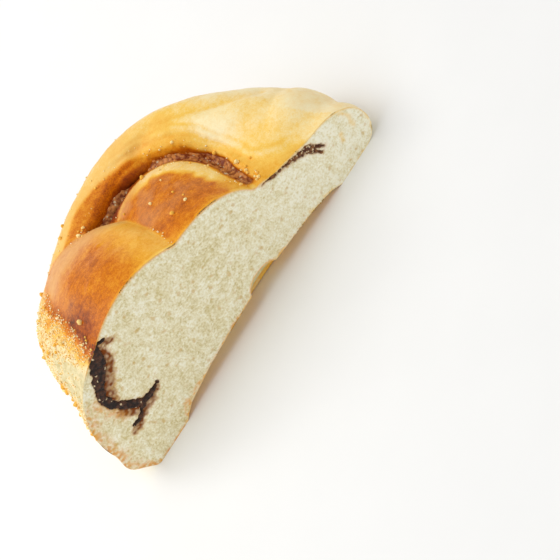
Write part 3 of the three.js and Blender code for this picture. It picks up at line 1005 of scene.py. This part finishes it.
def rope_paint(at):
    """Straw on the right with a deeper lip; amber on the inner slope at the back, partly painted shade and
    darkest down at the groove; pale outside, partly painted reflection.
    """
    bake = 0.2 + 0.05 * fall(at.z, 8, 20) + 0.15 * fall(at.slot, 1.6, 4.6) * (1 - at.behind) * (at.side > 0)
    # Pale spot on the right rope's crest: paler crust with a painted highlight.
    bake -= 0.2 * hump(np.hypot(at.x - PALE_CREST_HIGHLIGHT[0], at.y - PALE_CREST_HIGHLIGHT[1]), 8.5)
    lines = at.slot + 0.5 * at.ripple
    # Darker lines in the valleys of the lip's waves: painted shade.
    wrinkle_shade = hump(lines - 3.7, 0.5) + 0.8 * hump(lines - 6.4, 0.5)
    bake += 0.09 * wrinkle_shade * ramp(at.side, 0, 1) * stretch(at.along, 0.02, 0.08, 0.38, 0.44)
    # Paler towards the right end, and on the outer side, where it is partly painted reflection.
    bake -= 0.08 * ramp(at.x, 36, 52) + 0.07 * ramp(at.out, 1, 7) * fall(at.share, 0.24, 0.34)
    # A darker line along the valley where the right rope lies over the back one: painted shade.
    bake += 0.07 * hump(path_distance(at.x, at.y, ROPE_OVERLAP), 1.3)
    # Inner slope at the back: amber browning with painted shade, darker down towards the groove.
    bake += at.behind * (0.02 + at.inner * (0.36 + 0.2 * fall(at.slot, 0.2, 2.2)))
    # Bloom away from the inner slope and on the outer side: floury film and painted reflection.
    bloom_and_sheen = 0.3 * (1 - at.inner) * ramp(at.share, 0.2, 0.4) + 0.12 * ramp(at.out, 2, 8)
    # Left end: orange in the crease beside the left lobe, darkened there as painted shade, and pale away from
    # it.
    end_bake = 0.58 - 0.54 * at.away + 0.08 * ramp(at.y, 26, 44)
    return bake * (1 - at.end) + end_bake * at.end, bloom_and_sheen * (1 - at.end) + 0.3 * at.away * at.end


def crust_paint(points, normals):
    """Browning, floury bloom with painted sheen, torn and stained shares, and how thick streusel and sugar
    lie, on the crust.
    """
    at = CrustPlaces(points)
    parts = ((at.on_rope, rope_paint), (at.on_left, left_lobe_paint), (at.on_middle, middle_lobe_paint))
    bake, bloom_and_sheen = sum(on * np.array(paint(at)) for on, paint in parts)

    # Creases between the lobes, and between the left lobe and the rope: darkened as painted shade, without
    # bloom and sheen.
    crease_shade = hump(at.left - at.middle, 0.9) * (at.z > 24) * fall(at.wound, 2, 9)
    crease_shade *= ramp(at.wound - np.minimum(at.left, at.middle), -1.5, 0.5)
    crease_shade += hump(at.left - at.wound, 0.8) * (at.z > 30) * ramp(at.along, 0.58, 0.66)
    bake += 0.13 * np.clip(crease_shade, 0, 1)
    bloom_and_sheen *= 1 - 0.8 * np.clip(crease_shade, 0, 1)
    bake += (0.045 * at.slow + 0.03 * at.quick) * (1 - 0.6 * at.behind * at.inner)

    # Flat underside: browned on the tray and paler round its edge; under the cut it is painted paler, painted
    # light that lifts the shade under the foot.
    under = ramp(-normals[:, 2], 0.15, 0.7) * fall(at.z, 3, 6)
    tray = 0.55 - 0.25 * ramp(np.hypot(at.x, at.y), 48, 57) - 0.3 * fall(at.y, 5, 12) + 0.1 * at.slow
    bake = bake * (1 - under) + tray * under

    # Walls of the groove: crust that runs down to the filling, darkened with depth and more in the pocket, as
    # painted shade.
    deep = fall(filling_layer(at.x, at.y, at.z), 0.3, 3.2 - 1.2 * at.pocket) * at.opened
    bake = bake * (1 - at.wall) + at.wall * (0.5 + 0.2 * at.pocket + 0.22 * deep)
    bloom_and_sheen *= (1 - under) * (1 - at.wall)
    # The stain share carries this painted shade down the walls and in the pocket; the blots along the open
    # slot are stains of the filling.
    stain = deep * at.wall * (0.4 + 0.4 * at.pocket)
    blots = ramp(at.quick + at.fine, 0.1, 0.9) * (1 - at.pocket)
    stain += 0.4 * fall(at.slot, 0.2, 1.4) * at.opened * blots
    # The hook's top, where it bares the crust's edge.
    hook = fall(streaks(at.x, at.z), -0.3, 0.5) * fall(at.y, 0.3, 1.2) * (at.z > 30)

    torn = torn_side(at.x, at.y, at.z) * ramp(at.quick + 0.5 * at.fine, -0.9, -0.2)
    torn = np.maximum(torn, fall(ellipsoid(at.x, at.y, at.z, **NOTCH), 0.4, 1.2))
    streusel, sugar = grain_shares(at, torn)
    clear = (at.wall + under < 0.5) & (at.z > 3) & (at.y > 0.5)
    shares = {
        "bake": bake,
        "bloom_and_sheen": bloom_and_sheen,
        "torn": torn,
        "stain": np.maximum(stain, hook),
        "streusel": streusel * clear,
        "sugar": sugar * clear,
    }
    return {name: np.clip(values, 0, 1) for name, values in shares.items()}


def grain_shares(at, torn):
    """How thick streusel and sugar lie: most on the strand's left end, some along the groove."""
    patch = at.end * fall(at.y, 35, 42) * ramp(at.z, 14, 22) * at.on_rope * (1 - torn)
    dusty = at.behind * ramp(at.z, 26, 32) * (1 - at.inner)
    groove = fall(np.abs(at.slot - 1.6), 0.4, 2.2) * stretch(at.along, 0.4, 0.5, 0.6, 0.64)
    rim = fall(np.abs(at.slot - 1.0), 0.2, 1.4) * stretch(at.along, 0.03, 0.06, 0.34, 0.4)
    streusel = spots(at.x, at.y, LOOSE_CRUMBS, 0.9) * (at.z > 20)
    streusel += patch * (0.05 + 0.3 * ramp(at.slow + 0.4 * at.quick, -0.5, 0.3) * at.away)
    streusel += 0.12 * groove + 0.1 * rim + 0.005 * dusty + 0.001
    sugar = patch * (0.5 + 0.5 * ramp(at.quick, -0.6, 0.3)) + 0.08 * torn * (at.z > 12)
    sugar += 0.03 * groove + 0.12 * rim + 0.02 * dusty + 0.001
    return streusel, sugar


def crumb_paint(x, z, edge, relief):
    """Height, stains, flecks and the browned rim at points of the cut face."""
    places = np.stack([x, z], 1)
    slow, quick, grit = noise(places, 5, 30), noise(places, 1.2, 31), noise(places, 0.8, 34)
    # Syrup has run to the right of the hook, and to the left of and below its foot.
    near = 0.9 * np.exp(-np.maximum(streaks(x, z), 0) / 0.3)
    low = fall(z, 20, 24)
    right, below = (np.min([streaks(x - dx, z - dz) for dx, dz in runs], 0) for runs in SYRUP_RUNS)
    run = np.minimum(right + 3 * low, below + 3 * (1 - low)) + 3 * ramp(x, 0, 10)
    stain = np.maximum(near, (0.85 + 0.3 * grit) * fall(run + 0.5 * quick + 0.5 * grit, -0.5, 1.2))
    distance, tone = cells(places, 2.2, 33)
    fleck = (tone > 0.78) * fall(distance + 0.2 * quick + 0.16 * grit, 0.04, 0.34)
    # The crust's edge: thin and gold above, broad at the left, patchy along the foot, pale on the right.
    foot = fall(z, 2, 6) * ramp(x, -57, -52)
    leftmost = fall(x, -49, -44)
    width = 0.5 + 2.0 * leftmost * (1 - foot) + foot * (1.7 * np.maximum(slow + 0.6 * quick, 0) + 0.1)
    width *= 1 - 0.6 * ramp(x, -22, -8) * foot
    bare = torn_side(x, np.zeros(len(x)), z)
    rim = hump(np.maximum(edge, 0), np.maximum(width, 0.12)) * (1 - bare)
    rim *= 1 - 0.7 * np.maximum(foot, leftmost) * ramp(grit, -0.3, 0.3)
    tan = hump(path_distance(x, z, *TIP_FOLDS) + 0.35 * grit, 0.7)
    bake = 0.42 - 0.2 * ramp(x, 26, 32) - 0.1 * ramp(x, -12, 10) * foot
    bake += 0.06 * quick + 0.08 * leftmost - 0.06 * tan
    return {
        # Relief height, which the crumb's colour follows as painted highlight and shade, raised towards the
        # right end so the crumb is lighter there.
        "height": np.clip(0.42 * relief + 0.2 * ramp(x, 5, 45), -1, 1),
        "stain": np.clip(stain, 0, 1),
        "fleck": np.clip(fleck, 0, 1) * 0.5,
        "rim": np.clip(np.maximum(rim, 0.65 * tan), 0, 1) * 0.85,
        "bake": np.clip(bake, 0, 1),
    }


# ---- Operators


class BUN_OT_crust(Operator):
    """Builds the browned crust with its groove and underside, open at the cut"""

    bl_idname = "bun.crust"
    bl_label = "Crust"

    def execute(self, context):
        sizes = context.scene.bun_sizes
        points, quads = surface_net(bun_field, FIELD_LOW, FIELD_HIGH, sizes.crust_cell / MM)
        normal, _ = slope(bun_field, points)
        points = points + normal * crust_forms(points, sizes)[:, None]
        points[:, 2] = np.maximum(points[:, 2], -FOOT)
        crust = build_object("bun_crust", points, quads, material_of("egg_washed_crust", egg_washed_crust))
        trim_at_cut(crust)
        for name, values in crust_paint(points_of(crust), normals_of(crust)).items():
            store(crust, name, values)
        finish_piece(crust, ["dough"])
        return {"FINISHED"}


class BUN_OT_crumb(Operator):
    """Builds the cut face of soft crumb inside the crust's open edge"""

    bl_idname = "bun.crumb"
    bl_label = "Cut crumb"

    def execute(self, context):
        sizes = context.scene.bun_sizes
        outline, pairs = cut_outline(bpy.data.objects["bun_crust"])
        cell = sizes.crumb_cell / MM
        low, high = outline.min(0), outline.max(0)
        columns = np.arange(low[0], high[0], cell)
        rows = np.arange(low[2], high[2], cell * 0.87)
        x, z = np.meshgrid(columns, rows, indexing="ij")
        x = x + np.where(np.arange(len(rows)) % 2, cell / 2, 0)[None]
        places = np.stack([x.ravel(), z.ravel()], 1)
        key = np.round(places / cell * 4)
        jitter = np.stack([hashed(key, 6), hashed(key, 7)], 1) - 0.5
        places = places + jitter * cell * 0.4
        places = places[face_field(places) < -0.55 * cell]
        corners = [Vector((p[0], p[2])) for p in outline] + [Vector(p) for p in places]
        found, _, faces, *_ = delaunay_2d_cdt(corners, pairs, [], 0, 1e-6)
        found = np.array([tuple(v) for v in found])
        faces = np.array(faces)
        faces = faces[face_field(found[faces].mean(1)) < 0]
        a, b, c = found[faces[:, 0]], found[faces[:, 1]], found[faces[:, 2]]
        turn = (b[:, 0] - a[:, 0]) * (c[:, 1] - a[:, 1]) - (b[:, 1] - a[:, 1]) * (c[:, 0] - a[:, 0])
        faces[turn < 0] = faces[turn < 0][:, ::-1]
        edge = -face_field(found)
        relief = crumb_relief(found)
        out = relief * sizes.crumb_relief / MM * ramp(edge, 0.05, 0.9)
        sunk = fall(streaks(found[:, 0], found[:, 1]), -0.2, 0.5)
        out = out * (1 - sunk) - 0.35 * sunk * ramp(edge, 0.1, 0.6)
        points = np.stack([found[:, 0], -out, found[:, 1]], 1)
        points[: len(outline), 1] = 0
        crumb = build_object("bun_crumb", points, faces, material_of("soft_wheat_crumb", wheat_crumb))
        for name, values in crumb_paint(found[:, 0], found[:, 1], edge, relief).items():
            store(crumb, name, values)
        finish_piece(crumb, ["dough"])
        return {"FINISHED"}


def crumb_relief(places):
    """Torn fibres and pores of the cut face, from about -1 to 1."""
    x, z = places.T
    bend = 2.2 * noise(places, 14, 21) + 0.6 * noise(places, 5, 22)
    c, s = np.cos(0.5 + bend), np.sin(0.5 + bend)
    along, across = c * x + s * z, c * z - s * x
    threads = 1 - 2 * np.abs(noise(np.stack([along / 3.0, across], 1), 0.8, 23))
    fuzz = noise(places, 0.7, 24)
    pits, tone = cells(places, 2.6, 25)
    hollow = (tone > 0.6) * (1 - ramp(pits, 0.06, 0.16 + 0.12 * tone))
    grains = noise(places, 0.45, 27)
    return 0.42 * threads + 0.36 * fuzz + 0.3 * grains + 0.3 * noise(places, 2.4, 26) - 0.45 * hollow


class BUN_OT_filling(Operator):
    """Builds the layer of spiced sugar filling that shows in the groove and at the cut"""

    bl_idname = "bun.filling"
    bl_label = "Filling"

    def execute(self, context):
        sizes = context.scene.bun_sizes
        cell, fine = sizes.filling_cell / MM, sizes.streak_cell / MM
        # Field and its box, mesh spacing, size of the grains, wetness and share of pale flecks, which are
        # grains and on the hook painted glints.
        parts = [
            (filling_field, FIELD_LOW, FIELD_HIGH, cell, 1.0, 0.0, 0.03),
            (streak_field, *HOOK_BOX, fine, 0.75, 1.0, 0.02),
            (streak_field, *LINE_BOX, fine, 0.75, 0.75, 0.22),
        ]
        points, quads, wet, fleck = np.empty((0, 3)), [], np.empty(0), np.empty(0)
        for field, low, high, spacing, coarse, wetness, pale_grains_and_glints in parts:
            found, faces = surface_net(field, low, high, spacing)
            normal, _ = slope(field, found)
            grain, _ = cells(found, 1.15, 41)
            height = 1 - 1.7 * grain + 0.45 * noise(found, 0.6, 42)
            found = found + normal * (coarse * height * sizes.filling_relief / MM)[:, None]
            quads.append(faces + len(points))
            points = np.vstack([points, found])
            # The groove's filling from the pocket leftwards gets some of the dark wet colours: painted shade
            # in the deep pocket.
            wet = np.append(wet, np.maximum(wetness, 0.2 * fall(found[:, 0], 4, 9)))
            fleck = np.append(fleck, np.full(len(found), pale_grains_and_glints))
        material = material_of("moist_spiced_sugar", spiced_sugar)
        filling = build_object("bun_filling", points, np.vstack(quads), material)
        grain, tone = cells(points, 1.15, 41)
        # Lighter on the grains and darker between them, following their relief as painted shade, with a
        # random tone per grain.
        store(filling, "height", np.clip(0.55 * (1 - 1.7 * grain) + 0.6 * tone - 0.05, 0, 1))
        store(filling, "wet", wet)
        store(filling, "fleck", fleck)
        finish_piece(filling, ["filling"])
        return {"FINISHED"}


def scatter_tree(name, subdivisions, unevenness, material):
    """A tree that scatters small lumps over a surface where an attribute of the same name is high.

    Its inputs are the lumps' closest spacing, greatest number to a square metre, smallest and largest
    radius, lift as a share of the radius, and seed.
    """
    tree = bpy.data.node_groups.new(name, "GeometryNodeTree")
    sockets = {"Surface": "NodeSocketGeometry"}
    sockets |= dict.fromkeys(("Spacing", "Density", "Smallest", "Largest", "Lift"), "NodeSocketFloat")
    sockets["Seed"] = "NodeSocketInt"
    for label, kind in sockets.items():
        tree.interface.new_socket(label, in_out="INPUT", socket_type=kind)
    tree.interface.new_socket("Grains", in_out="OUTPUT", socket_type="NodeSocketGeometry")
    given = add(tree, "NodeGroupInput").outputs
    share = add(tree, "GeometryNodeInputNamedAttribute", {"Name": name}, data_type="FLOAT").outputs[0]
    spread = {
        "Mesh": given["Surface"],
        "Distance Min": given["Spacing"],
        "Density Max": given["Density"],
        "Density Factor": share,
        "Seed": given["Seed"],
    }
    spread = add(tree, "GeometryNodeDistributePointsOnFaces", spread, distribute_method="POISSON").outputs
    # Three lumps of different shape, each a ball pushed about by noise and flattened.
    lumps = add(tree, "GeometryNodeJoinGeometry")
    for k in range(3):
        ball = {"Radius": 1.0, "Subdivisions": subdivisions}
        ball = add(tree, "GeometryNodeMeshIcoSphere", ball).outputs["Mesh"]
        push = {"Scale": 1.4, "Detail": 1.0, "W": 3.7 * k}
        push = add(tree, "ShaderNodeTexNoise", push, noise_dimensions="4D").outputs["Color"]
        push = add(tree, "ShaderNodeVectorMath", {0: push, 1: (0.5,) * 3}, operation="SUBTRACT").outputs[0]
        push = add(tree, "ShaderNodeVectorMath", {0: push, "Scale": unevenness}, operation="SCALE").outputs[0]
        ball = add(tree, "GeometryNodeSetPosition", {"Geometry": ball, "Offset": push}).outputs[0]
        flat = {"Geometry": ball, "Scale": (1.0, 0.92 - 0.1 * k, 0.72 + 0.08 * k)}
        flat = add(tree, "GeometryNodeTransform", flat).outputs[0]
        tree.links.new(add(tree, "GeometryNodeGeometryToInstance", {0: flat}).outputs[0], lumps.inputs[0])
    # Random radius, mostly small, with turn, kind of lump and tone.
    draw = "FunctionNodeRandomValue"
    size = add(tree, draw, {2: 0.0, 3: 1.0, "Seed": 5}, data_type="FLOAT").outputs[1]
    size = add(tree, "ShaderNodeMath", {0: size, 1: 2.2}, operation="POWER").outputs[0]
    size = {0: size, 1: 0.0, 2: 1.0, 3: given["Smallest"], 4: given["Largest"]}
    radius = add(tree, "ShaderNodeMapRange", size).outputs[0]
    turn = {0: (0.0,) * 3, 1: (math.tau,) * 3, "Seed": 8}
    turn = add(tree, draw, turn, data_type="FLOAT_VECTOR").outputs[0]
    pick = add(tree, draw, {4: 0, 5: 2, "Seed": 13}, data_type="INT").outputs[2]
    tone = add(tree, draw, {2: 0.0, 3: 1.0, "Seed": 21}, data_type="FLOAT").outputs[1]
    lift = add(tree, "ShaderNodeMath", {0: radius, 1: given["Lift"]}, operation="MULTIPLY").outputs[0]
    lift = {0: spread["Normal"], "Scale": lift}
    lift = add(tree, "ShaderNodeVectorMath", lift, operation="SCALE").outputs[0]
    places = {"Geometry": spread["Points"], "Offset": lift}
    places = add(tree, "GeometryNodeSetPosition", places).outputs[0]
    places = {"Geometry": places, "Name": "tone", "Value": tone}
    places = add(tree, "GeometryNodeStoreNamedAttribute", places, data_type="FLOAT", domain="POINT")
    places = places.outputs[0]
    grains = {
        "Points": places,
        "Instance": lumps.outputs[0],
        "Pick Instance": True,
        "Instance Index": pick,
        "Rotation": turn,
        "Scale": radius,
    }
    grains = add(tree, "GeometryNodeInstanceOnPoints", grains).outputs[0]
    grains = add(tree, "GeometryNodeRealizeInstances", {0: grains}).outputs[0]
    grains = {"Geometry": grains, "Material": material}
    grains = add(tree, "GeometryNodeSetMaterial", grains).outputs[0]
    add(tree, "NodeGroupOutput", {0: grains})
    return tree


def grow(name, host, tree, values):
    """The plain mesh that a tree makes from a host object with its inputs set."""
    carrier = bpy.data.objects.new(name + "_carrier", host.data.copy())
    bpy.context.scene.collection.objects.link(carrier)
    modifier = carrier.modifiers.new("grains", "NODES")
    modifier.node_group = tree
    for item in tree.interface.items_tree:
        if item.item_type == "SOCKET" and item.in_out == "INPUT" and item.name in values:
            modifier[item.identifier] = values[item.name]
    depsgraph = bpy.context.evaluated_depsgraph_get()
    mesh = bpy.data.meshes.new_from_object(carrier.evaluated_get(depsgraph), depsgraph=depsgraph)
    bpy.data.objects.remove(carrier)
    if not mesh.polygons:
        raise RuntimeError(f"{name} came out empty")
    mesh.name = name
    made = bpy.data.objects.new(name, mesh)
    bpy.context.scene.collection.objects.link(made)
    return made


class BUN_OT_streusel(Operator):
    """Scatters streusel crumbs over the crust"""

    bl_idname = "bun.streusel"
    bl_label = "Streusel"

    def execute(self, context):
        sizes = context.scene.bun_sizes
        material = material_of("butter_streusel", butter_streusel)
        tree = scatter_tree("streusel", 2, 1.3, material)
        radii = {"Smallest": sizes.crumb_smallest, "Largest": sizes.crumb_largest}
        values = {"Spacing": 0.9 * MM, "Density": 1000000.0, **radii, "Lift": 0.35, "Seed": sizes.seed}
        crumbs = grow("bun_streusel", bpy.data.objects["bun_crust"], tree, values)
        crumbs.data.shade_smooth()
        finish_piece(crumbs, ["dough"])
        return {"FINISHED"}


class BUN_OT_sugar(Operator):
    """Scatters fine sugar grains over the crust"""

    bl_idname = "bun.sugar"
    bl_label = "Sugar"

    def execute(self, context):
        sizes = context.scene.bun_sizes
        tree = scatter_tree("sugar", 1, 0.5, material_of("raw_sugar", raw_sugar))
        radii = {"Smallest": sizes.sugar_smallest, "Largest": sizes.sugar_largest}
        values = {"Spacing": 0.3 * MM, "Density": 3000000.0, **radii, "Lift": 0.5, "Seed": sizes.seed + 1}
        grains = grow("bun_sugar", bpy.data.objects["bun_crust"], tree, values)
        grains.data.shade_flat()
        finish_piece(grains, ["dough"])
        return {"FINISHED"}


class BUN_OT_stage(Operator):
    """Sets the white table top, the soft studio light and the camera"""

    bl_idname = "bun.stage"
    bl_label = "Stage"

    def execute(self, context):
        bm = bmesh.new()
        bmesh.ops.create_grid(bm, x_segments=1, y_segments=1, size=1.6)
        mesh = bpy.data.meshes.new("table_top")
        bm.to_mesh(mesh)
        bm.free()
        mesh.materials.append(material_of("white_table_top", table_top))
        floor = bpy.data.objects.new("table_top", mesh)
        context.scene.collection.objects.link(floor)

        world = bpy.data.worlds.new("studio")
        world.use_nodes = True
        # A white room, dimmer high up behind the bun, so that its crust keeps its colour.
        room = world.node_tree
        heading = add(room, "ShaderNodeTexCoord").outputs["Generated"]
        level = add(room, "ShaderNodeSeparateXYZ", {0: heading}).outputs["Z"]
        walls = [(0.0, 1.0), (0.2, 1.0), (0.36, 0.42), (0.8, 0.4), (1.0, 0.45)]
        walls = [(height, (grey,) * 3) for height, grey in walls]
        walls = add(room, "ShaderNodeValToRGB", {0: level}, stops=walls).outputs[0]
        room.links.new(walls, room.nodes["Background"].inputs["Color"])
        room.nodes["Background"].inputs["Strength"].default_value = 1.2
        context.scene.world = world

        def softbox(name, place, aim, size, watts, tint):
            light = bpy.data.lights.new(name, "AREA")
            light.shape = "RECTANGLE"
            light.size, light.size_y = size
            light.energy = watts
            light.color = linear(tint)
            lamp = bpy.data.objects.new(name, light)
            lamp.location = place
            lamp.rotation_euler = (Vector(aim) - Vector(place)).to_track_quat("-Z", "Y").to_euler()
            context.scene.collection.objects.link(lamp)

        softbox("key_softbox", (-0.26, 0.12, 0.74), (0, 0, 0.02), (1.0, 0.9), 5.2, "#FFFEFC")
        softbox("back_softbox", (-0.3, 0.42, 0.5), (0, 0, 0.02), (0.25, 0.25), 0.6, "#FFFFFF")

        # The photograph's view: 41 degrees down, turned 57 degrees about the line of sight.
        rise, roll, away = math.radians(41), math.radians(57), 0.45
        aim = Vector(ORIGIN + MM * np.array([8.7, -2.6, 0]))
        back = Vector((0, -math.cos(rise), math.sin(rise)))
        across, steep = Vector((1, 0, 0)), Vector((0, math.sin(rise), math.cos(rise)))
        right = math.cos(roll) * across - math.sin(roll) * steep
        up = math.sin(roll) * across + math.cos(roll) * steep
        camera = bpy.data.cameras.new("camera")
        camera.sensor_width = 36
        focal, width = 1570.5, 560  # in pixels of the picture
        camera.lens = focal / width * camera.sensor_width
        camera.clip_start = 0.01
        eye = bpy.data.objects.new("camera", camera)
        turn = Matrix((right, up, back)).transposed().to_4x4()
        eye.matrix_world = Matrix.Translation(aim + away * back) @ turn
        context.scene.collection.objects.link(eye)
        context.scene.camera = eye
        context.scene.view_settings.view_transform = "Standard"
        return {"FINISHED"}


class BUN_PT_panel(Panel):
    """Lists the bun's pieces in the order in which they are built"""

    bl_idname = "BUN_PT_panel"
    bl_label = "Streusel bun"
    bl_space_type = "VIEW_3D"
    bl_region_type = "UI"
    bl_category = "Streusel bun"

    def draw(self, context):
        for operator in OPERATORS:
            self.layout.operator(operator.bl_idname)
        for group in (context.scene.bun_sizes, context.scene.bun_colours):
            box = self.layout.box()
            for name in group.__annotations__:
                box.prop(group, name)


OPERATORS = (BUN_OT_crust, BUN_OT_crumb, BUN_OT_filling, BUN_OT_streusel, BUN_OT_sugar, BUN_OT_stage)
CLASSES = (BunSizes, BunColours, *OPERATORS, BUN_PT_panel)


def register():
    for made in CLASSES:
        bpy.utils.register_class(made)
    bpy.types.Scene.bun_sizes = PointerProperty(type=BunSizes)
    bpy.types.Scene.bun_colours = PointerProperty(type=BunColours)


def unregister():
    del bpy.types.Scene.bun_colours
    del bpy.types.Scene.bun_sizes
    for made in reversed(CLASSES):
        bpy.utils.unregister_class(made)


def main():
    register()
    bpy.ops.bun.crust()
    bpy.ops.bun.crumb()
    bpy.ops.bun.filling()
    bpy.ops.bun.streusel()
    bpy.ops.bun.sugar()
    bpy.ops.bun.stage()


if __name__ == "__main__":
    main()
